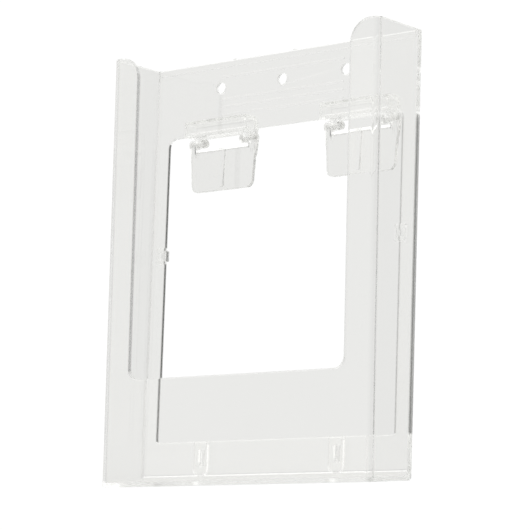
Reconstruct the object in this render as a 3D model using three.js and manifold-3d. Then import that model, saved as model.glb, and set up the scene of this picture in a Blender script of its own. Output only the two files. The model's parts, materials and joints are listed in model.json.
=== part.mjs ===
// Brochure rack in clear moulded plastic, in millimetres, +Z up.
// The pocket opens upwards and to the front (-Y). The back panel stands on the plane y = 0, and
// two hanger flaps swing on pins behind it. Heights are measured from the foot of the pocket while
// the pieces are built, and the whole rack is then lowered so that its origin is the fixing point
// on the rear face of the top band.
import * as THREE from 'three';
import { mergeVertices } from 'three/addons/utils/BufferGeometryUtils.js';
import Module from 'manifold-3d';

// ---- driving dimensions ----
const WIDTH = 234.5;
const HEIGHT = 300;
const DEPTH_TOP = 47;           // front face to wall face, at the rim
const DEPTH_FOOT = 43;          // the same at the foot: the mould core has draft
const WALL = 3;
const BACK_WALL = 2.2;          // the back panel is thinner than the rest
const BACK_RADIUS = 0.8;        // outside radius of the upright edges beside the wall
const BACK_FILLET = 1.6;        // inside radius of the same edges
const FRONT_RADIUS = 5;         // outside radius of the upright edges at the front
const FLOOR_RISE = 4;           // the floor climbs towards the wall
const FLOOR_BEND = 3;           // outside radius where the floor turns up into the back panel
const FLOOR_FILLET = 5;         // inside radius of the same turn

const FLANGE = 23.7;            // width of each upright front flange
const STRIP_HEIGHT = 73.5;      // height of the front strip above the foot
const STRIP_RADIUS = 8;         // corner between strip and flange
const FLANGE_RADIUS = 16;       // rounded upper corner of each flange

const WINDOW_SIDE = 15.2;       // back panel left beside the window
const WINDOW_FOOT = 34;         // lower rail of the back panel
const WINDOW_TOP = 248.5;       // lower edge of the top band
const WINDOW_RADIUS = 6;        // upper corners of the window
const SILL_RADIUS = 2;          // lower corners of the window

const HOLE_HEIGHT = 281;
const HOLE_PITCH = 55.5;
const HOLE_RADIUS = 3.7;
const MOUNT_HEIGHT = 295;       // the fixing point, on solid plastic above the middle hole

const BEAD_HEIGHT = 4.8;        // thickened rim along the top band
const BEAD_PROUD = 0.9;
const NUB = { width: 3, height: 0.7, centres: [-44, 10] };
const RIB = { heights: [288.5, 272.5, 267, 261.5], length: 108, height: 1.6, proud: 0.5 };

const FLAP_CENTRE = 61;
const AXIS_Y = 9.5;             // hinge axis behind the back panel
const AXIS_Z = 245.6;
const FLAP = { top: 241.5, foot: 210.8, halfTop: 30, halfFoot: 27.8, radius: 5, thick: 2.5 };
const FLAP_LIP = { height: 2.4, proud: 0.9 };
const FLAP_RIB = { halfTop: 2.8, halfFoot: 1.9, foot: 213, proud: 0.8 };
const EAR = { inner: 24.6, outer: 30, radius: 3.2, root: 233 };
const LUG = { inner: 19.6, outer: 24.2, radius: 3.2 };
const BEAM = { half: 28.5, foot: 249.4, top: 260.5, front: 0.3, rear: 13.2, radius: 3.5, wall: 2.2 };
const PIN = { radius: 1.6, head: 2.8, headInner: 16, headOuter: 19.3, end: 29.6 };
const GAP = 0.3;                // air between pieces that touch

const CLIP_CENTRE = 59;
const LOWER_CLIP = { half: 6.2, foot: 10, top: 33, thick: 2.2, slotHalf: 1.6, slotFoot: 17, slotTop: 28 };
const SIDE_CLIP = { foot: 159.5, top: 171, reach: 6.5, thick: 1.8, tongue: 3.5 };

const OVERRUN = 0.02;           // a rounded cut crosses the flat it blends into by this much
const CIRCLE_STEPS = 32;
const FAR = 60;                 // longer than any cut needs to be

// ---- solids ----
const wasm = await Module();
wasm.setup();

function solid(geometry) {
  const bare = geometry.index ? geometry.toNonIndexed() : geometry.clone();
  bare.deleteAttribute('normal');
  bare.deleteAttribute('uv');
  const merged = mergeVertices(bare, 1e-4);
  return new wasm.Manifold(new wasm.Mesh({
    numProp: 3,
    vertProperties: new Float32Array(merged.attributes.position.array),
    triVerts: new Uint32Array(merged.index.array),
  }));
}

function geometryOf(manifold) {
  const mesh = manifold.getMesh();
  const geometry = new THREE.BufferGeometry();
  geometry.setAttribute('position', new THREE.BufferAttribute(new Float32Array(mesh.vertProperties), 3));
  geometry.setIndex(new THREE.BufferAttribute(new Uint32Array(mesh.triVerts), 1));
  geometry.computeVertexNormals();
  return geometry;
}

function joined(solids) {
  return solids.reduce((whole, next) => whole.add(next));
}

function cut(body, tools) {
  return tools.reduce((rest, tool) => rest.subtract(tool), body);
}

function box(low, high) {
  const size = high.map((value, i) => value - low[i]);
  const geometry = new THREE.BoxGeometry(...size);
  geometry.translate(...low.map((value, i) => value + size[i] / 2));
  return solid(geometry);
}

// A prism of an outline in X and Z, from yLow to yHigh.
function prismXZ(shape, yLow, yHigh) {
  const geometry = new THREE.ExtrudeGeometry(shape, {
    depth: yHigh - yLow, bevelEnabled: false, curveSegments: 8,
  });
  geometry.rotateX(Math.PI / 2);
  geometry.translate(0, yHigh, 0);
  return solid(geometry);
}

// A prism of an outline in Y and Z, from xLow to xHigh.
function prismYZ(shape, xLow, xHigh) {
  const geometry = new THREE.ExtrudeGeometry(shape, {
    depth: xHigh - xLow, bevelEnabled: false, curveSegments: 8,
  });
  const axes = new THREE.Matrix4().makeBasis(
    new THREE.Vector3(0, 1, 0), new THREE.Vector3(0, 0, 1), new THREE.Vector3(1, 0, 0));
  geometry.applyMatrix4(axes);
  geometry.translate(xLow, 0, 0);
  return solid(geometry);
}

function rodX(radius, xLow, xHigh, y, z) {
  const geometry = new THREE.CylinderGeometry(radius, radius, xHigh - xLow, CIRCLE_STEPS);
  geometry.rotateZ(Math.PI / 2);
  geometry.translate((xLow + xHigh) / 2, y, z);
  return solid(geometry);
}

function rodY(radius, yLow, yHigh, x, z) {
  const geometry = new THREE.CylinderGeometry(radius, radius, yHigh - yLow, CIRCLE_STEPS);
  geometry.translate(x, (yLow + yHigh) / 2, z);
  return solid(geometry);
}

// A closed outline whose corners are [x, y, radius].
function roundedOutline(corners) {
  const shape = new THREE.Shape();
  corners.forEach(([x, y, radius], i) => {
    const here = new THREE.Vector2(x, y);
    const before = new THREE.Vector2(...corners[(i + corners.length - 1) % corners.length].slice(0, 2));
    const after = new THREE.Vector2(...corners[(i + 1) % corners.length].slice(0, 2));
    const back = before.clone().sub(here).normalize();
    const ahead = after.clone().sub(here).normalize();
    const half = back.angleTo(ahead) / 2;
    const reach = radius / Math.tan(half);
    const start = here.clone().addScaledVector(back, reach);
    if (i === 0) shape.moveTo(start.x, start.y);
    else shape.lineTo(start.x, start.y);
    if (radius === 0) return;
    const inward = back.clone().add(ahead).normalize();
    const centre = here.clone().addScaledVector(inward, radius / Math.sin(half));
    const end = here.clone().addScaledVector(ahead, reach);
    const from = Math.atan2(start.y - centre.y, start.x - centre.x);
    const to = Math.atan2(end.y - centre.y, end.x - centre.x);
    const turn = Math.atan2(Math.sin(to - from), Math.cos(to - from));
    shape.absarc(centre.x, centre.y, radius, from, to, turn < 0);
  });
  shape.closePath();
  return shape;
}

// ---- the pocket, one moulding ----
function prismZ(corners, foot, top) {
  const geometry = new THREE.ExtrudeGeometry(roundedOutline(corners), {
    depth: top - foot, bevelEnabled: false, curveSegments: 8,
  });
  geometry.translate(0, 0, foot);
  return geometry;
}

// The pocket's body drawn in by inset, between two heights. The back half stands straight and the
// front half leans out with the draft.
function pocketBody(inset, foot, top) {
  const half = WIDTH / 2 - inset;
  const front = -DEPTH_FOOT + inset;
  const frontRadius = FRONT_RADIUS - inset;
  const rear = inset > 0 ? -BACK_WALL : 0;
  const backRadius = inset > 0 ? BACK_FILLET : BACK_RADIUS;
  const straight = prismZ([
    [-half, -FAR, 0],
    [half, -FAR, 0],
    [half, rear, backRadius],
    [-half, rear, backRadius],
  ], foot, top);
  const leaning = prismZ([
    [-half, front, frontRadius],
    [half, front, frontRadius],
    [half, FAR, 0],
    [-half, FAR, 0],
  ], foot, top);
  const lean = (DEPTH_TOP - DEPTH_FOOT) / HEIGHT;
  leaning.applyMatrix4(new THREE.Matrix4().makeShear(0, 0, 0, 0, 0, -lean));
  return solid(straight).intersect(solid(leaning));
}

// Everything above the sloping floor, seen from the side; inset raises the floor to its upper face.
function aboveFloor(inset) {
  const rear = (inset > 0 ? -BACK_WALL : 0) + OVERRUN;
  const bend = inset > 0 ? FLOOR_FILLET : FLOOR_BEND;
  const shape = roundedOutline([
    [-FAR, -FLOOR_RISE * (FAR - DEPTH_FOOT) / DEPTH_FOOT + inset, 0],
    [rear, FLOOR_RISE * (DEPTH_FOOT + rear) / DEPTH_FOOT + inset, bend],
    [rear, HEIGHT + FAR, 0],
    [-FAR, HEIGHT + FAR, 0],
  ]);
  return prismYZ(shape, -WIDTH, WIDTH);
}

function frontOpening() {
  const half = WIDTH / 2 - FLANGE;
  const shape = roundedOutline([
    [-half, STRIP_HEIGHT, STRIP_RADIUS],
    [half, STRIP_HEIGHT, STRIP_RADIUS],
    [half, HEIGHT + FLANGE_RADIUS, 0],
    [-half, HEIGHT + FLANGE_RADIUS, 0],
  ]);
  const opening = prismXZ(shape, -FAR, -DEPTH_FOOT + WALL + 1);
  const corners = [-1, 1].map((side) => {
    const near = side * half;
    const centre = side * (half + FLANGE_RADIUS);
    const low = HEIGHT - FLANGE_RADIUS;
    const block = box([Math.min(near, centre), -FAR, low],
      [Math.max(near, centre), -DEPTH_FOOT + WALL + 1, HEIGHT + 1]);
    return block.subtract(rodY(FLANGE_RADIUS, -FAR - 1, 0, centre, low));
  });
  return joined([opening, ...corners]);
}

function backWindow() {
  const half = WIDTH / 2 - WINDOW_SIDE;
  return prismXZ(roundedOutline([
    [-half, WINDOW_FOOT, SILL_RADIUS],
    [half, WINDOW_FOOT, SILL_RADIUS],
    [half, WINDOW_TOP, WINDOW_RADIUS],
    [-half, WINDOW_TOP, WINDOW_RADIUS],
  ]), -BACK_WALL - 2, 2);
}

function pocket() {
  const outer = pocketBody(0, -1, HEIGHT).intersect(aboveFloor(0));
  const inner = pocketBody(WALL, -1, HEIGHT + FLANGE_RADIUS).intersect(aboveFloor(WALL));
  const inside = WIDTH / 2 - WALL - BACK_FILLET - 0.5;
  const face = -BACK_WALL;
  const bead = box([-inside, face - BEAD_PROUD, HEIGHT - BEAD_HEIGHT], [inside, face + 0.5, HEIGHT]);
  const nubs = NUB.centres.map((x) =>
    box([x - NUB.width / 2, face + 0.4, HEIGHT - 0.5], [x + NUB.width / 2, -0.6, HEIGHT + NUB.height]));
  const ribs = RIB.heights.map((z) => box([-RIB.length / 2, face - RIB.proud, z - RIB.height / 2],
    [RIB.length / 2, face + 0.5, z + RIB.height / 2]));
  const screwHoles = [-HOLE_PITCH, 0, HOLE_PITCH].map((x) =>
    rodY(HOLE_RADIUS, face - 2, 2, x, HOLE_HEIGHT));
  const clipSlots = [-CLIP_CENTRE, CLIP_CENTRE].map((x) =>
    box([x - LOWER_CLIP.slotHalf, face - 2, LOWER_CLIP.slotFoot],
      [x + LOWER_CLIP.slotHalf, 2, LOWER_CLIP.slotTop]));
  const walls = cut(outer, [inner, frontOpening(), backWindow()]);
  return cut(joined([walls, bead, ...nubs, ...ribs]), [...screwHoles, ...clipSlots]);
}

// ---- hanger hinge, drawn about x = 0 ----
// The block is a shallow tray whose open side is closed by the band, with two lugs under it.
function hingeBlock() {
  const beam = prismYZ(roundedOutline([
    [BEAM.front, BEAM.foot, 0],
    [BEAM.rear, BEAM.foot, 0],
    [BEAM.rear, BEAM.top, BEAM.radius],
    [BEAM.front, BEAM.top, 0],
  ]), -BEAM.half, BEAM.half);
  const hollow = box([BEAM.wall - BEAM.half, BEAM.front - 1, BEAM.foot + BEAM.wall],
    [BEAM.half - BEAM.wall, BEAM.rear - BEAM.wall, BEAM.top - BEAM.wall]);
  const lugs = [-1, 1].flatMap((side) => {
    const [low, high] = [side * LUG.inner, side * LUG.outer].sort((a, b) => a - b);
    return [
      rodX(LUG.radius, low, high, AXIS_Y, AXIS_Z),
      box([low, AXIS_Y - LUG.radius, AXIS_Z], [high, AXIS_Y + LUG.radius, BEAM.foot + 0.5]),
    ];
  });
  return joined([beam.subtract(hollow), ...lugs])
    .subtract(rodX(PIN.radius + GAP, -FAR, FAR, AXIS_Y, AXIS_Z));
}

function hangerFlap() {
  const front = AXIS_Y - FLAP.thick / 2;
  const rear = AXIS_Y + FLAP.thick / 2;
  const plate = prismXZ(roundedOutline([
    [-FLAP.halfFoot, FLAP.foot, FLAP.radius],
    [FLAP.halfFoot, FLAP.foot, FLAP.radius],
    [FLAP.halfTop, FLAP.top, 0],
    [-FLAP.halfTop, FLAP.top, 0],
  ]), front, rear);
  const rib = prismXZ(roundedOutline([
    [-FLAP_RIB.halfFoot, FLAP_RIB.foot, 1],
    [FLAP_RIB.halfFoot, FLAP_RIB.foot, 1],
    [FLAP_RIB.halfTop, FLAP.top, 0],
    [-FLAP_RIB.halfTop, FLAP.top, 0],
  ]), front - FLAP_RIB.proud, front + 0.5);
  const lipFoot = FLAP.top - FLAP_LIP.height;
  const lip = prismYZ(roundedOutline([
    [front + 0.5, lipFoot, 0],
    [front - FLAP_LIP.proud, lipFoot, 0],
    [front - FLAP_LIP.proud, lipFoot + 0.5, 0],
    [front - 0.15, FLAP.top, 0],
    [front + 0.5, FLAP.top, 0],
  ]), -FLAP.halfTop + 0.5, FLAP.halfTop - 0.5);
  const ears = [-1, 1].flatMap((side) => {
    const [low, high] = [side * EAR.inner, side * EAR.outer].sort((a, b) => a - b);
    const cheek = prismYZ(roundedOutline([
      [front, EAR.root, 0],
      [rear, EAR.root, 0],
      [AXIS_Y + EAR.radius, AXIS_Z, 0],
      [AXIS_Y - EAR.radius, AXIS_Z, 0],
    ]), low, high);
    return [rodX(EAR.radius, low, high, AXIS_Y, AXIS_Z), cheek];
  });
  return joined([plate, rib, lip, ...ears]).subtract(rodX(PIN.radius + GAP, -FAR, FAR, AXIS_Y, AXIS_Z));
}

function hingePin(side) {
  const span = (from, to) => [side * from, side * to].sort((a, b) => a - b);
  return rodX(PIN.head, ...span(PIN.headInner, PIN.headOuter), AXIS_Y, AXIS_Z)
    .add(rodX(PIN.radius, ...span(PIN.headInner + 1, PIN.end), AXIS_Y, AXIS_Z));
}

// ---- clips on the back panel ----
// A U-shaped plate in front of the lower rail, with a hook through the rail's slot.
function lowerClip() {
  const front = -BACK_WALL - GAP - LOWER_CLIP.thick;
  const plate = prismXZ(roundedOutline([
    [-LOWER_CLIP.half, LOWER_CLIP.foot, LOWER_CLIP.half - 1],
    [LOWER_CLIP.half, LOWER_CLIP.foot, LOWER_CLIP.half - 1],
    [LOWER_CLIP.half, LOWER_CLIP.top, 1],
    [-LOWER_CLIP.half, LOWER_CLIP.top, 1],
  ]), front, -BACK_WALL - GAP);
  const mouth = box([-LOWER_CLIP.slotHalf, front - 1, LOWER_CLIP.slotFoot + 2],
    [LOWER_CLIP.slotHalf, 1, LOWER_CLIP.slotTop]);
  const hook = box([-LOWER_CLIP.slotHalf + GAP, front + 0.5, LOWER_CLIP.slotFoot + GAP],
    [LOWER_CLIP.slotHalf - GAP, -GAP, LOWER_CLIP.slotFoot + 1.8]);
  return plate.subtract(mouth).add(hook);
}

// A short channel that sits on the window's upright edge, drawn for the right-hand side.
function sideClip() {
  const edge = WIDTH / 2 - WINDOW_SIDE;
  const near = edge - GAP - SIDE_CLIP.thick;
  const front = -BACK_WALL - GAP - SIDE_CLIP.thick;
  const leg = box([near, front, SIDE_CLIP.foot], [edge + SIDE_CLIP.reach, -BACK_WALL - GAP, SIDE_CLIP.top]);
  const bridge = box([near, front + 0.2, SIDE_CLIP.foot + 2], [edge - GAP, -GAP, SIDE_CLIP.top - 2]);
  const slot = box([edge + 1.2, front - 1, SIDE_CLIP.foot + SIDE_CLIP.tongue],
    [edge + SIDE_CLIP.reach - 1.6, 0, SIDE_CLIP.top - SIDE_CLIP.tongue]);
  return leg.add(bridge).subtract(slot);
}

// ---- assembly ----
const rack = new THREE.Group();

function clearPlastic(colour, roughness) {
  return new THREE.MeshStandardMaterial({
    color: colour, roughness, metalness: 0, transparent: true, opacity: 0.4,
  });
}

function place(name, manifold, material, x = 0) {
  const mesh = new THREE.Mesh(geometryOf(manifold), material);
  mesh.name = name;
  mesh.position.set(x, 0, -MOUNT_HEIGHT);
  rack.add(mesh);
}

const SHELL_COLOUR = 0xe9edee;
const FLAP_COLOUR = 0xdfe4e6;
const CLIP_COLOUR = 0xe2e7e9;

place('pocket_shell', pocket(), clearPlastic(SHELL_COLOUR, 0.08));

for (const [side, word] of [[-1, 'left'], [1, 'right']]) {
  const centre = side * FLAP_CENTRE;
  place(`hinge_block_${word}`, hingeBlock(), clearPlastic(CLIP_COLOUR, 0.1), centre);
  place(`hanger_flap_${word}`, hangerFlap(), clearPlastic(FLAP_COLOUR, 0.08), centre);
  place(`hinge_pin_${word}_outer`, hingePin(side), clearPlastic(CLIP_COLOUR, 0.15), centre);
  place(`hinge_pin_${word}_inner`, hingePin(-side), clearPlastic(CLIP_COLOUR, 0.15), centre);
  place(`lower_clip_${word}`, lowerClip(), clearPlastic(CLIP_COLOUR, 0.12), side * CLIP_CENTRE);
  const clip = side > 0 ? sideClip() : sideClip().mirror([1, 0, 0]);
  place(`side_clip_${word}`, clip, clearPlastic(CLIP_COLOUR, 0.12));
}

export default rack;
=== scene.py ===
"""Clear plastic brochure rack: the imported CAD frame, refined meshes, materials, studio and camera."""
import json
import math

import bmesh
import bpy
from mathutils import Matrix, Vector


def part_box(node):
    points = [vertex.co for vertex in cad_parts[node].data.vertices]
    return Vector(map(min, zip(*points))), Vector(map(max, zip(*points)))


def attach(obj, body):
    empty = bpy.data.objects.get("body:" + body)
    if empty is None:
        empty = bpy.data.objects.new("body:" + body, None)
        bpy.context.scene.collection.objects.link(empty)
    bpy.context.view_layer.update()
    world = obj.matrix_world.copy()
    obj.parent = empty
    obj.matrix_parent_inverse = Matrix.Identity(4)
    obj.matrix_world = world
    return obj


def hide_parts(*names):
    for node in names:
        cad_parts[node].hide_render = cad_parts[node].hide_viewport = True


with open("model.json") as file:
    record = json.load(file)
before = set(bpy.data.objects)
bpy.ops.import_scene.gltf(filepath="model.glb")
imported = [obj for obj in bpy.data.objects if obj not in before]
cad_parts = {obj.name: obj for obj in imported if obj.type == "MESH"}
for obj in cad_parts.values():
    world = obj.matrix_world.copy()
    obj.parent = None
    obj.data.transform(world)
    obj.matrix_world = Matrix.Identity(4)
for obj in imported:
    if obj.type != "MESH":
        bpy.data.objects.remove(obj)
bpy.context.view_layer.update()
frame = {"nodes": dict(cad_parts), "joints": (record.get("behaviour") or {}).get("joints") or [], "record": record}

# ---- sizes, in millimetres, with heights measured up from the foot of the pocket ----
MM = 0.001
shell_low, shell_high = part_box("pocket_shell")
FOOT = shell_low.z
WIDTH = round((shell_high.x - shell_low.x) / MM, 2)
NUB_HEIGHT = 0.7
HEIGHT = round((shell_high.z - shell_low.z) / MM - NUB_HEIGHT, 2)
DEPTH_TOP = round(-shell_low.y / MM, 2)
DRAFT = 4.0
DEPTH_FOOT = DEPTH_TOP - DRAFT
WALL = 3.0
BACK_WALL = 2.2
BACK_RADIUS = 0.8
BACK_FILLET = 1.6
FRONT_RADIUS = 5.0
FLOOR_RISE = 4.0
FLOOR_BEND = 3.0
FLOOR_FILLET = 5.0
FLANGE = 23.7
FLANGE_RADIUS = 16.0
STRIP_HEIGHT = 73.5
STRIP_RADIUS = 8.0
WINDOW_SIDE = 15.2
WINDOW_FOOT = 34.0
WINDOW_TOP = 248.5
WINDOW_RADIUS = 6.0
SILL_RADIUS = 2.0
HOLE_HEIGHT = 281.0
HOLE_PITCH = 55.5
HOLE_RADIUS = 3.7
BEAD = {"height": 4.8, "proud": 0.9, "radius": 0.45, "end_gap": 0.5, "top_gap": 0.45}
NUB = {"width": 3.0, "centres": (-44.0, 10.0), "radius": 0.5, "front_gap": 0.5, "rear_gap": 0.6}
RIB = {"heights": (288.5, 272.5, 267.0, 261.5), "length": 108.0, "height": 1.6, "proud": 0.5, "radius": 0.3}

hinge = next(joint for joint in frame["joints"] if joint["name"] == "flap_right_hinge")
AXIS_Y = hinge["pos_m"][1] / MM
AXIS_Z = (hinge["pos_m"][2] - FOOT) / MM
FLAP_CENTRE = hinge["pos_m"][0] / MM
FLAP = {"top": 241.5, "foot": 210.8, "half_top": 30.0, "half_foot": 27.8, "radius": 5.0, "thick": 2.5}
FLAP_LIP = {"height": 2.4, "proud": 0.9, "flat": 0.5, "set_in": 0.15, "end_gap": 0.5}
FLAP_RIB = {"half_top": 2.8, "half_foot": 1.9, "foot": 213.0, "proud": 0.8, "radius": 1.2}
EAR = {"inner": 24.6, "outer": 30.0, "radius": 3.2, "root": 233.0}
LUG = {"inner": 19.6, "outer": 24.2, "radius": 3.2}
BEAM = {"half": 28.5, "foot": 249.4, "top": 260.5, "front": 0.3, "rear": 13.2, "radius": 3.5, "wall": 2.2}
PIN = {"radius": 1.6, "head": 2.8, "head_inner": 16.0, "head_outer": 19.3, "end": 29.6}
GAP = 0.3
CLIP_CENTRE = 59.0
LOWER_CLIP = {"half": 6.2, "foot": 10.0, "top": 33.0, "thick": 2.2, "corner": 1.0}
CLIP_SLOT = {"half": 1.6, "foot": 17.0, "top": 28.0, "radius": 0.6}
CLIP_HOOK = {"set_back": 0.5, "height": 1.8, "room": 2.0}
SIDE_CLIP = {"foot": 159.5, "top": 171.0, "reach": 6.5, "thick": 1.8, "tongue": 3.5}
SIDE_BRIDGE = {"set_back": 0.2, "set_in": 2.0}
SIDE_SLOT = {"near": 1.2, "rim": 1.6}
EDGE = {"pocket": 0.75, "block": 0.45, "flap": 0.4, "pin": 0.35, "clip": 0.28}    # rounding of sharp edges
ROOT = 1.0         # how far a solid reaches into the one it joins, or a cut past a face
SHALLOW = 0.5      # the same where a plate is thin
OVERRUN = 2.0      # how far a cut runs past the back panel
HAIR = 0.01        # keeps two round corners from meeting in one point
OPENING_RUN = 5.0  # how far the cut of the front opening runs above the rim
HOLLOW_RUN = 20.0  # the same for the hollow of the pocket
FAR = 80.0         # longer than any cut needs to be


# ---- mesh helpers ----
def rounded(corners, steps=10):
    """Points of a closed outline whose corners are (u, v, radius)."""
    points = []
    for i, (u, v, radius) in enumerate(corners):
        here = Vector((u, v))
        back = (Vector(corners[i - 1][:2]) - here).normalized()
        ahead = (Vector(corners[(i + 1) % len(corners)][:2]) - here).normalized()
        if radius == 0:
            points.append(here)
            continue
        half = back.angle(ahead) / 2
        centre = here + (back + ahead).normalized() * (radius / math.sin(half))
        start = here + back * (radius / math.tan(half)) - centre
        end = here + ahead * (radius / math.tan(half)) - centre
        turn = start.angle_signed(end)
        for k in range(steps + 1):
            spin = Matrix.Rotation(-turn * k / steps, 2)
            points.append(centre + spin @ start)
    return points


def circle(u, v, radius, steps=48):
    """Points of a circle."""
    spins = [2 * math.pi * k / steps for k in range(steps)]
    return [Vector((u + radius * math.cos(a), v + radius * math.sin(a))) for a in spins]


def prism(name, outline, low, high, plane):
    """A closed prism of an outline in the plane "XY", "XZ" or "YZ", from low to high across it."""
    place = {
        "XY": lambda p, d: Vector((p.x, p.y, d)),
        "XZ": lambda p, d: Vector((p.x, d, p.y)),
        "YZ": lambda p, d: Vector((d, p.x, p.y)),
    }[plane]
    mesh = bpy.data.meshes.new(name)
    bm = bmesh.new()
    rings = [[bm.verts.new(place(p, d)) for p in outline] for d in (low, high)]
    bm.faces.new(rings[0])
    bm.faces.new(rings[1])
    for i in range(len(outline)):
        j = (i + 1) % len(outline)
        bm.faces.new((rings[0][i], rings[0][j], rings[1][j], rings[1][i]))
    bmesh.ops.recalc_face_normals(bm, faces=bm.faces)
    bm.to_mesh(mesh)
    bm.free()
    obj = bpy.data.objects.new(name, mesh)
    bpy.context.scene.collection.objects.link(obj)
    return obj


def block(name, low, high):
    """A box between two corners."""
    corners = ((low[0], low[1]), (high[0], low[1]), (high[0], high[1]), (low[0], high[1]))
    return prism(name, [Vector(corner) for corner in corners], low[2], high[2], "XY")


def bake(obj):
    """Applies the modifiers to the mesh."""
    graph = bpy.context.evaluated_depsgraph_get()
    mesh = bpy.data.meshes.new_from_object(obj.evaluated_get(graph))
    old = obj.data
    obj.modifiers.clear()
    obj.data = mesh
    bpy.data.meshes.remove(old)


def combine(obj, operation, tools):
    """Joins tools to obj, cuts them from it, or keeps what they share, and removes them."""
    for tool in tools:
        modifier = obj.modifiers.new(operation, "BOOLEAN")
        modifier.object = tool
        modifier.operation = operation
        modifier.solver = "EXACT"
        bake(obj)
        bpy.data.objects.remove(tool)
    return obj


def soften(obj, width, segments=3, sharper_than=32, weld=0.02, flat=0.4):
    """Cleans the flats and rounds every edge that turns by more than the given angle."""
    bm = bmesh.new()
    bm.from_mesh(obj.data)
    bmesh.ops.remove_doubles(bm, verts=bm.verts, dist=weld)
    bmesh.ops.dissolve_limit(bm, angle_limit=math.radians(flat), verts=bm.verts, edges=bm.edges)
    bm.to_mesh(obj.data)
    bm.free()
    bevel = obj.modifiers.new("bevel", "BEVEL")
    bevel.width = width
    bevel.segments = segments
    bevel.limit_method = "ANGLE"
    bevel.angle_limit = math.radians(sharper_than)
    bevel.use_clamp_overlap = False
    bake(obj)
    return obj


def settle(obj, shift=0.0, mirrored=False, smoother_than=38):
    """Takes a piece from millimetres above the foot to metres in the row frame, and shades it."""
    turn = Matrix.Scale(-1, 4, (1, 0, 0)) if mirrored else Matrix.Identity(4)
    obj.data.transform(Matrix.Translation((shift * MM, 0, FOOT)) @ Matrix.Scale(MM, 4) @ turn)
    if mirrored:
        obj.data.flip_normals()
    for polygon in obj.data.polygons:
        polygon.use_smooth = True
    obj.data.set_sharp_from_angle(angle=math.radians(smoother_than))
    weighted = obj.modifiers.new("weighted", "WEIGHTED_NORMAL")
    weighted.keep_sharp = True
    weighted.weight = 100
    bake(obj)
    return obj


# ---- the pocket ----
def pocket_body(inset, foot, top):
    """The pocket drawn in by inset: the back half stands straight, the front half leans out."""
    half = WIDTH / 2 - inset
    front = -DEPTH_FOOT + inset
    back = -BACK_WALL if inset else 0
    back_radius = BACK_FILLET if inset else BACK_RADIUS
    front_radius = FRONT_RADIUS - inset
    straight = prism("pocket", rounded([
        (-half, -FAR, 0), (half, -FAR, 0), (half, back, back_radius), (-half, back, back_radius),
    ]), foot, top, "XY")
    leaning = prism("leaning", rounded([
        (-half, front, front_radius), (half, front, front_radius), (half, FAR, 0), (-half, FAR, 0),
    ]), foot, top, "XY")
    for vertex in leaning.data.vertices:
        vertex.co.y -= DRAFT * vertex.co.z / HEIGHT
    return combine(straight, "INTERSECT", [leaning])


def above_floor(inset):
    """Everything above the sloping floor and in front of the back panel, with the bend between them."""
    slope = FLOOR_RISE / DEPTH_FOOT
    back = -BACK_WALL if inset else 0
    bend = FLOOR_FILLET if inset else FLOOR_BEND
    return prism("above_floor", rounded([
        (-FAR, -slope * (FAR - DEPTH_FOOT) + inset, 0),
        (back, slope * (DEPTH_FOOT + back) + inset, bend),
        (back, HEIGHT + FAR, 0),
        (-FAR, HEIGHT + FAR, 0),
    ]), -WIDTH, WIDTH, "YZ")


def front_opening():
    """The cut between the flanges, which widens round their shoulders up to the rim."""
    half = WIDTH / 2 - FLANGE
    wide = half + FLANGE_RADIUS
    top = HEIGHT - FLANGE_RADIUS
    above = HEIGHT + OPENING_RUN
    steps = 14
    outline = rounded([
        (-half, STRIP_HEIGHT, STRIP_RADIUS), (half, STRIP_HEIGHT, STRIP_RADIUS),
        (half, top, 0), (-half, top, 0),
    ])[:-2]
    turns = [math.pi / 2 * k / steps for k in range(steps + 1)]
    right = [Vector((wide - FLANGE_RADIUS * math.cos(a), top + FLANGE_RADIUS * math.sin(a))) for a in turns]
    left = [Vector((-p.x, p.y)) for p in reversed(right)]
    outline += right + [Vector((wide, above)), Vector((-wide, above))] + left
    return prism("front_opening", outline, -FAR, -DEPTH_FOOT + WALL + ROOT, "XZ")


def back_window():
    half = WIDTH / 2 - WINDOW_SIDE
    return prism("back_window", rounded([
        (-half, WINDOW_FOOT, SILL_RADIUS), (half, WINDOW_FOOT, SILL_RADIUS),
        (half, WINDOW_TOP, WINDOW_RADIUS), (-half, WINDOW_TOP, WINDOW_RADIUS),
    ]), -BACK_WALL - OVERRUN, OVERRUN, "XZ")


def bar(name, half, low, high, rear, proud, radius):
    """A bar along X whose front edges are rounded, from rear to proud of the panel's inner face."""
    front = -BACK_WALL - proud
    outline = rounded([(rear, low, 0), (front, low, radius), (front, high, radius), (rear, high, 0)], 5)
    return prism(name, outline, -half, half, "YZ")


def screw_hole(x):
    return prism("hole", circle(x, HOLE_HEIGHT, HOLE_RADIUS), -BACK_WALL - OVERRUN - ROOT, OVERRUN, "XZ")


def clip_slot(x):
    """The slot through the lower rail behind a lower clip."""
    half, foot, top, radius = (CLIP_SLOT[key] for key in ("half", "foot", "top", "radius"))
    return prism("slot", rounded([
        (x - half, foot, radius), (x + half, foot, radius), (x + half, top, radius), (x - half, top, radius),
    ], 4), -BACK_WALL - OVERRUN, OVERRUN, "XZ")


def nub(x):
    """A small moulding nub on the upper edge of the top band."""
    half = NUB["width"] / 2
    top = HEIGHT + NUB_HEIGHT
    return prism("nub", rounded([
        (x - half, HEIGHT - ROOT, 0), (x + half, HEIGHT - ROOT, 0),
        (x + half, top, NUB["radius"]), (x - half, top, NUB["radius"]),
    ], 5), -BACK_WALL + NUB["front_gap"], -NUB["rear_gap"], "XZ")


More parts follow.
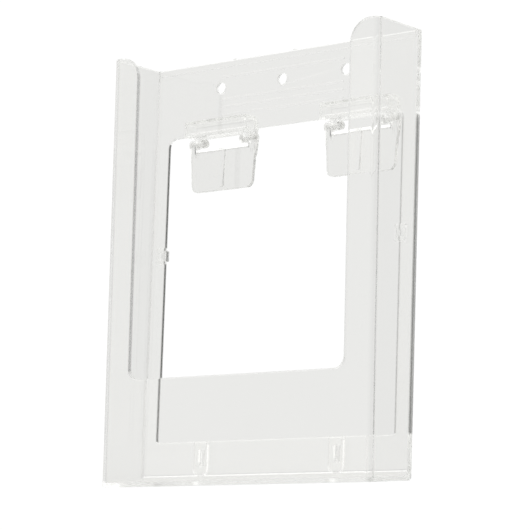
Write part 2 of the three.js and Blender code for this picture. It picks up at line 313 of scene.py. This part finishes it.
def make_pocket():
    body = combine(pocket_body(0, -ROOT, HEIGHT), "INTERSECT", [above_floor(0)])
    inner = combine(pocket_body(WALL, -ROOT, HEIGHT + HOLLOW_RUN), "INTERSECT", [above_floor(WALL)])
    holes = [screw_hole(x) for x in (-HOLE_PITCH, 0, HOLE_PITCH)]
    slots = [clip_slot(x) for x in (-CLIP_CENTRE, CLIP_CENTRE)]
    combine(body, "DIFFERENCE", [inner, front_opening(), back_window(), *holes, *slots])
    soften(body, EDGE["pocket"])
    for vertex in body.data.vertices:
        vertex.co.x = max(-WIDTH / 2, min(WIDTH / 2, vertex.co.x))
    rear = -BACK_WALL + ROOT
    bead_half = WIDTH / 2 - WALL - BACK_FILLET - BEAD["end_gap"]
    bead_foot = HEIGHT - BEAD["height"]
    bead_top = HEIGHT - BEAD["top_gap"]
    bead = bar("bead", bead_half, bead_foot, bead_top, rear, BEAD["proud"], BEAD["radius"])
    reach = RIB["height"] / 2
    ribs = [bar("rib", RIB["length"] / 2, z - reach, z + reach, rear, RIB["proud"], RIB["radius"])
            for z in RIB["heights"]]
    nubs = [nub(x) for x in NUB["centres"]]
    combine(body, "UNION", [bead, *ribs, *nubs])
    return settle(body)


# ---- hanger hinges, drawn about x = 0 ----
def rod(name, radius, low, high):
    """A round bar on the hinge axis."""
    return prism(name, circle(AXIS_Y, AXIS_Z, radius), low, high, "YZ")


def span(side, near, far):
    """The stretch from near to far on one side of the middle, lower end first."""
    return sorted((side * near, side * far))


def make_block(side):
    beam = prism("hinge_block", rounded([
        (BEAM["front"], BEAM["foot"], 0), (BEAM["rear"], BEAM["foot"], 0),
        (BEAM["rear"], BEAM["top"], BEAM["radius"]), (BEAM["front"], BEAM["top"], 0),
    ]), -BEAM["half"], BEAM["half"], "YZ")
    wall = BEAM["wall"]
    hollow = block("hollow", (wall - BEAM["half"], BEAM["front"] - ROOT, BEAM["foot"] + wall),
                   (BEAM["half"] - wall, BEAM["rear"] - wall, BEAM["top"] - wall))
    combine(beam, "DIFFERENCE", [hollow])
    for hand in (-1, 1):
        low, high = span(hand, LUG["inner"], LUG["outer"])
        radius = LUG["radius"]
        lug = rounded([
            (AXIS_Y - radius, AXIS_Z - radius, radius - HAIR),
            (AXIS_Y + radius, AXIS_Z - radius, radius - HAIR),
            (AXIS_Y + radius, BEAM["foot"] + ROOT, 0), (AXIS_Y - radius, BEAM["foot"] + ROOT, 0),
        ])
        combine(beam, "UNION", [prism("lug", lug, low, high, "YZ")])
    combine(beam, "DIFFERENCE", [rod("bore", PIN["radius"] + GAP, -FAR, FAR)])
    return settle(soften(beam, EDGE["block"]), side * FLAP_CENTRE)


def make_flap(side):
    front = AXIS_Y - FLAP["thick"] / 2
    rear = AXIS_Y + FLAP["thick"] / 2
    half_foot, half_top = FLAP["half_foot"], FLAP["half_top"]
    foot, top = FLAP["foot"], FLAP["top"]
    plate = prism("hanger_flap", rounded([
        (-half_foot, foot, FLAP["radius"]), (half_foot, foot, FLAP["radius"]),
        (half_top, top, 0), (-half_top, top, 0),
    ]), front, rear, "XZ")
    rib = prism("flap_rib", rounded([
        (-FLAP_RIB["half_foot"], FLAP_RIB["foot"], FLAP_RIB["radius"]),
        (FLAP_RIB["half_foot"], FLAP_RIB["foot"], FLAP_RIB["radius"]),
        (FLAP_RIB["half_top"], top - ROOT, 0), (-FLAP_RIB["half_top"], top - ROOT, 0),
    ]), front - FLAP_RIB["proud"], front + SHALLOW, "XZ")
    lip_foot = top - FLAP_LIP["height"]
    lip_front = front - FLAP_LIP["proud"]
    lip = prism("flap_lip", rounded([
        (front + SHALLOW, lip_foot, 0), (lip_front, lip_foot, 0), (lip_front, lip_foot + FLAP_LIP["flat"], 0),
        (front - FLAP_LIP["set_in"], top, 0), (front + SHALLOW, top, 0),
    ]), FLAP_LIP["end_gap"] - half_top, half_top - FLAP_LIP["end_gap"], "YZ")
    combine(plate, "UNION", [rib, lip])
    for hand in (-1, 1):
        low, high = span(hand, EAR["inner"], EAR["outer"])
        steps = 20
        radius = EAR["radius"]
        ear = [Vector((front, EAR["root"])), Vector((rear, EAR["root"]))]
        for k in range(steps + 1):
            turn = math.pi * k / steps
            ear.append(Vector((AXIS_Y + radius * math.cos(turn), AXIS_Z + radius * math.sin(turn))))
        combine(plate, "UNION", [prism("ear", ear, low, high, "YZ")])
    combine(plate, "DIFFERENCE", [rod("bore", PIN["radius"] + GAP, -FAR, FAR)])
    return settle(soften(plate, EDGE["flap"]), side * FLAP_CENTRE)


def make_pin(side, hand):
    head = rod("hinge_pin", PIN["head"], *span(hand, PIN["head_inner"], PIN["head_outer"]))
    shaft = rod("shaft", PIN["radius"], *span(hand, PIN["head_inner"] + ROOT, PIN["end"]))
    combine(head, "UNION", [shaft])
    return settle(soften(head, EDGE["pin"]), side * FLAP_CENTRE)


# ---- clips on the back panel ----
def make_lower_clip(side):
    rear = -BACK_WALL - GAP
    front = rear - LOWER_CLIP["thick"]
    half = LOWER_CLIP["half"]
    corner = LOWER_CLIP["corner"]
    slot = CLIP_SLOT["half"]
    foot = CLIP_SLOT["foot"]
    plate = prism("lower_clip", rounded([
        (-half, LOWER_CLIP["foot"], half - corner), (half, LOWER_CLIP["foot"], half - corner),
        (half, LOWER_CLIP["top"], corner), (-half, LOWER_CLIP["top"], corner),
    ]), front, rear, "XZ")
    mouth = block("mouth", (-slot, front - ROOT, foot + CLIP_HOOK["room"]), (slot, ROOT, CLIP_SLOT["top"]))
    hook = block("hook", (-slot + GAP, front + CLIP_HOOK["set_back"], foot + GAP),
                 (slot - GAP, -GAP, foot + CLIP_HOOK["height"]))
    combine(plate, "DIFFERENCE", [mouth])
    combine(plate, "UNION", [hook])
    return settle(soften(plate, EDGE["clip"]), side * CLIP_CENTRE)


def make_side_clip(side):
    edge = WIDTH / 2 - WINDOW_SIDE
    rear = -BACK_WALL - GAP
    front = rear - SIDE_CLIP["thick"]
    near = edge - GAP - SIDE_CLIP["thick"]
    far = edge + SIDE_CLIP["reach"]
    foot, top = SIDE_CLIP["foot"], SIDE_CLIP["top"]
    set_in = SIDE_BRIDGE["set_in"]
    tongue = SIDE_CLIP["tongue"]
    leg = block("side_clip", (near, front, foot), (far, rear, top))
    bridge = block("bridge", (near, front + SIDE_BRIDGE["set_back"], foot + set_in),
                   (edge - GAP, -GAP, top - set_in))
    slot = block("slot", (edge + SIDE_SLOT["near"], front - ROOT, foot + tongue),
                 (far - SIDE_SLOT["rim"], 0, top - tongue))
    combine(leg, "UNION", [bridge])
    combine(leg, "DIFFERENCE", [slot])
    return settle(soften(leg, EDGE["clip"]), mirrored=side < 0)


# ---- materials ----
PLASTIC_IOR = 1.57
DEPTH_TINT = (0.505, 0.505, 0.48, 1)
MIX_A = 6          # the colour sockets of a mix node
MIX_B = 7
MIX_RESULT = 2


def clear_plastic(name, tint, frost=0.02, waviness=0.000012, absorb=1.0, painted_edge_shade=None):
    """Clear moulded plastic with a slight flow in its surface and a fine haze.

    Faces marked by the "cut" attribute can take a near-black painted shade in their base colour. It stands in for
    the dark lines that light guided along the plastic shows at its edges.
    """
    material = bpy.data.materials.new(name)
    material.use_nodes = True
    tree = material.node_tree
    tree.nodes.clear()

    def node(kind, **values):
        made = tree.nodes.new(kind)
        for key, value in values.items():
            made.inputs[key].default_value = value
        return made

    def link(source, output, target, socket):
        tree.links.new(source.outputs[output], target.inputs[socket])

    place = node("ShaderNodeTexCoord")
    flow = node("ShaderNodeTexNoise", Scale=28.0, Detail=2.0, Roughness=0.4)
    grain = node("ShaderNodeTexNoise", Scale=900.0, Detail=2.0)
    shade = node("ShaderNodeValToRGB")
    shade.color_ramp.elements[0].color = (*[c * 0.99 for c in tint], 1)
    shade.color_ramp.elements[1].color = (*tint, 1)
    haze = node("ShaderNodeMapRange")
    haze.inputs["To Min"].default_value = frost * 0.4
    haze.inputs["To Max"].default_value = frost * 1.6
    bump = node("ShaderNodeBump", Strength=1.0, Distance=waviness)
    bsdf = node("ShaderNodeBsdfPrincipled", IOR=PLASTIC_IOR)
    bsdf.inputs["Transmission Weight"].default_value = 1.0
    volume = node("ShaderNodeVolumeAbsorption", Density=absorb)
    volume.inputs["Color"].default_value = DEPTH_TINT
    output = node("ShaderNodeOutputMaterial")
    link(place, "Object", flow, "Vector")
    link(place, "Object", grain, "Vector")
    link(flow, "Fac", shade, "Fac")
    link(grain, "Fac", haze, "Value")
    link(flow, "Fac", bump, "Height")
    if painted_edge_shade:
        # painted shade: where the "cut" attribute is set, the base colour turns to the near-black painted edge
        # shade
        cut = node("ShaderNodeAttribute")
        cut.attribute_name = "cut"
        edge = node("ShaderNodeMix")
        edge.data_type = "RGBA"
        edge.inputs[MIX_B].default_value = (*painted_edge_shade, 1)
        link(cut, "Fac", edge, "Factor")
        link(shade, "Color", edge, MIX_A)
        link(edge, MIX_RESULT, bsdf, "Base Color")
    else:
        link(shade, "Color", bsdf, "Base Color")
    link(haze, "Result", bsdf, "Roughness")
    link(bump, "Normal", bsdf, "Normal")
    link(bsdf, "BSDF", output, "Surface")
    link(volume, "Volume", output, "Volume")
    return material


def pale_floor():
    """Matt white paper, a little uneven."""
    material = bpy.data.materials.new("floor_paper")
    material.use_nodes = True
    tree = material.node_tree
    bsdf = tree.nodes["Principled BSDF"]
    bsdf.inputs["Roughness"].default_value = 0.9
    noise = tree.nodes.new("ShaderNodeTexNoise")
    noise.inputs["Scale"].default_value = 30.0
    ramp = tree.nodes.new("ShaderNodeValToRGB")
    ramp.color_ramp.elements[0].color = (0.70, 0.70, 0.695, 1)
    ramp.color_ramp.elements[1].color = (0.74, 0.74, 0.735, 1)
    tree.links.new(noise.outputs["Fac"], ramp.inputs["Fac"])
    tree.links.new(ramp.outputs["Color"], bsdf.inputs["Base Color"])
    return material


ROOM = (0.86, 0.86, 0.85, 1)
HORIZON = {"height": 0.01, "inner": 0.015, "outer": 0.045, "level": 0.52}
LIGHTS = (    # direction, degrees of full light, degrees where it ends, and its level
    ((0.3, 0.2, 1.0), 30, 60, 1.4),
    ((-0.64, -0.77, 0.15), 20, 40, 1.15),
    ((-1.0, 0.0, 0.0), 10, 28, 0.45),
    ((1.0, -0.45, 0.0), 12, 34, 0.50),
    ((-0.64, 0.77, 0.15), 30, 45, 0.80),
    ((-0.58, 0.72, -0.36), 18, 24, 1.6),
)
WARMTH = 0.985     # the blue of a light, beside its red and green
SEEN_WHITE = (1.05, 1.05, 1.05, 1)


def studio_world():
    """A light grey room with soft lights and a darker horizon, which the lens itself sees as plain white."""
    world = bpy.data.worlds.new("studio")
    world.use_nodes = True
    tree = world.node_tree
    nodes = tree.nodes
    links = tree.links
    place = nodes.new("ShaderNodeTexCoord")

    def lobe(direction, inner, outer):
        """1 within inner degrees of a direction, easing to 0 at outer degrees."""
        toward = nodes.new("ShaderNodeVectorMath")
        toward.operation = "DOT_PRODUCT"
        toward.inputs[1].default_value = Vector(direction).normalized()
        links.new(place.outputs["Generated"], toward.inputs[0])
        fade = nodes.new("ShaderNodeMapRange")
        fade.interpolation_type = "SMOOTHSTEP"
        fade.inputs["From Min"].default_value = math.cos(math.radians(outer))
        fade.inputs["From Max"].default_value = math.cos(math.radians(inner))
        links.new(toward.outputs["Value"], fade.inputs["Value"])
        return fade.outputs["Result"]

    def mixed(level, target, weight):
        """Goes from one colour to another as the weight goes from 0 to 1."""
        mix = nodes.new("ShaderNodeMix")
        mix.data_type = "RGBA"
        links.new(weight, mix.inputs["Factor"])
        if isinstance(level, tuple):
            mix.inputs[MIX_A].default_value = level
        else:
            links.new(level, mix.inputs[MIX_A])
        mix.inputs[MIX_B].default_value = target
        return mix.outputs[MIX_RESULT]

    level = ROOM
    for direction, inner, outer, value in LIGHTS:
        level = mixed(level, (value, value, value * WARMTH, 1), lobe(direction, inner, outer))
    height = nodes.new("ShaderNodeSeparateXYZ")
    links.new(place.outputs["Generated"], height.inputs[0])
    off = nodes.new("ShaderNodeMath")
    off.operation = "SUBTRACT"
    off.inputs[1].default_value = HORIZON["height"]
    links.new(height.outputs["Z"], off.inputs[0])
    apart = nodes.new("ShaderNodeMath")
    apart.operation = "ABSOLUTE"
    links.new(off.outputs[0], apart.inputs[0])
    near = nodes.new("ShaderNodeMapRange")
    near.interpolation_type = "SMOOTHSTEP"
    near.inputs["From Min"].default_value = HORIZON["outer"]
    near.inputs["From Max"].default_value = HORIZON["inner"]
    links.new(apart.outputs[0], near.inputs["Value"])
    level = mixed(level, (HORIZON["level"],) * 3 + (1,), near.outputs["Result"])
    rays = nodes.new("ShaderNodeLightPath")
    level = mixed(level, SEEN_WHITE, rays.outputs["Is Camera Ray"])
    links.new(level, nodes["Background"].inputs["Color"])
    return world


# ---- assembly ----
CLEAR = (0.99, 0.99, 0.985)
DULL = (0.98, 0.98, 0.975)
# near-black base colour painted on the upright window and flange edges, a painted shade for the dark lines that
# guided light makes there
PAINTED_EDGE_SHADE = (0.015, 0.015, 0.014)
PLASTICS = {
    "shell": clear_plastic("shell_plastic", CLEAR, painted_edge_shade=PAINTED_EDGE_SHADE),
    "hinge_block": clear_plastic("hinge_block_plastic", CLEAR, frost=0.03, waviness=0.000006, absorb=1.5),
    "flap": clear_plastic("flap_plastic", CLEAR, absorb=9.0),
    "pin": clear_plastic("pin_plastic", DULL, frost=0.04, absorb=45.0),
    "lower_clip": clear_plastic("lower_clip_plastic", CLEAR, waviness=0.00002),
    "side_clip": clear_plastic("side_clip_plastic", DULL, frost=0.05),
}
for row in frame["record"]["subparts"]:
    cad = frame["nodes"][row["node"]]
    cad.data.materials.clear()
    cad.data.materials.append(PLASTICS[row["material_slot"]])


def stand_for(piece, node, slot, body="rack"):
    """Puts a finished piece in the place of its CAD node."""
    piece.name = "look_" + node
    piece.data.materials.clear()
    piece.data.materials.append(PLASTICS[slot])
    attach(piece, body)
    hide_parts(node)


# which faces get the painted edge shade, and how strongly: full on the window edges, 0.6 on the left flange
PAINTED_SHADE_FACES = {"near": 0.0006, "facing": 0.6, "past_face": 0.0002, "front": -0.035, "window": 1.0, "flange": 0.6}


def mark_painted_edge_shade(obj):
    """Marks the upright edges of the window and, more faintly, of the left flange in the "cut" attribute, which
    paints shade into their base colour.
    """
    window = (WIDTH / 2 - WINDOW_SIDE) * MM
    flange = (WIDTH / 2 - FLANGE) * MM
    cut = obj.data.attributes.new("cut", "FLOAT", "FACE")
    for polygon in obj.data.polygons:
        x, y, z = polygon.center
        if abs(polygon.normal.x) < PAINTED_SHADE_FACES["facing"]:
            continue
        if abs(abs(x) - window) < PAINTED_SHADE_FACES["near"] and y > -BACK_WALL * MM - PAINTED_SHADE_FACES["past_face"]:
            cut.data[polygon.index].value = PAINTED_SHADE_FACES["window"]
        if abs(x + flange) < PAINTED_SHADE_FACES["near"] and y < PAINTED_SHADE_FACES["front"]:
            cut.data[polygon.index].value = PAINTED_SHADE_FACES["flange"]


pocket = make_pocket()
stand_for(pocket, "pocket_shell", "shell")
mark_painted_edge_shade(pocket)
for side, word in ((-1, "left"), (1, "right")):
    stand_for(make_block(side), "hinge_block_" + word, "hinge_block")
    stand_for(make_flap(side), "hanger_flap_" + word, "flap", "flap_" + word)
    stand_for(make_pin(side, side), "hinge_pin_" + word + "_outer", "pin")
    stand_for(make_pin(side, -side), "hinge_pin_" + word + "_inner", "pin")
    stand_for(make_lower_clip(side), "lower_clip_" + word, "lower_clip")
    stand_for(make_side_clip(side), "side_clip_" + word, "side_clip")

# ---- floor, world, camera ----
FLOOR_REACH = 3
FLOOR_DROP = 0.35
floor_mesh = bpy.data.meshes.new("floor")
floor_corners = [(u * FLOOR_REACH, v * FLOOR_REACH, 0) for u, v in ((-1, -1), (1, -1), (1, 1), (-1, 1))]
floor_mesh.from_pydata(floor_corners, [], [(0, 1, 2, 3)])
floor = bpy.data.objects.new("floor", floor_mesh)
floor.location.z = FOOT - FLOOR_DROP
floor_mesh.materials.append(pale_floor())
bpy.context.scene.collection.objects.link(floor)
bpy.context.scene.world = studio_world()

CAMERA = {"azimuth": 40.309, "elevation": -8.65, "roll": 1.898, "distance": 1.7085, "lens": 172.8,
          "sensor": 36, "reach": 20}
AIM = Vector((0.0031, -0.0173, FOOT + 0.1495))
azimuth, elevation, roll = (math.radians(CAMERA[key]) for key in ("azimuth", "elevation", "roll"))
level = math.cos(elevation)
outward = Vector((math.sin(azimuth) * level, -math.cos(azimuth) * level, math.sin(elevation)))
camera = bpy.data.objects.new("camera", bpy.data.cameras.new("camera"))
camera.data.lens = CAMERA["lens"]
camera.data.sensor_width = CAMERA["sensor"]
camera.rotation_mode = "QUATERNION"
camera.location = AIM + outward * CAMERA["distance"]
turn = (-outward).to_track_quat("-Z", "Y").to_matrix() @ Matrix.Rotation(roll, 3, "Z")
camera.rotation_quaternion = turn.to_quaternion()
camera.data.clip_end = CAMERA["reach"]
bpy.context.scene.collection.objects.link(camera)
bpy.context.scene.camera = camera

BOUNCES = 400         # light runs the whole width of a wall before it leaves by an edge
scene = bpy.context.scene
scene.view_settings.view_transform = "Standard"
scene.cycles.max_bounces = BOUNCES
scene.cycles.transmission_bounces = BOUNCES
scene.cycles.glossy_bounces = BOUNCES
scene.cycles.transparent_max_bounces = 32
scene.cycles.filter_width = 2.0
scene.cycles.caustics_reflective = True
scene.cycles.caustics_refractive = True
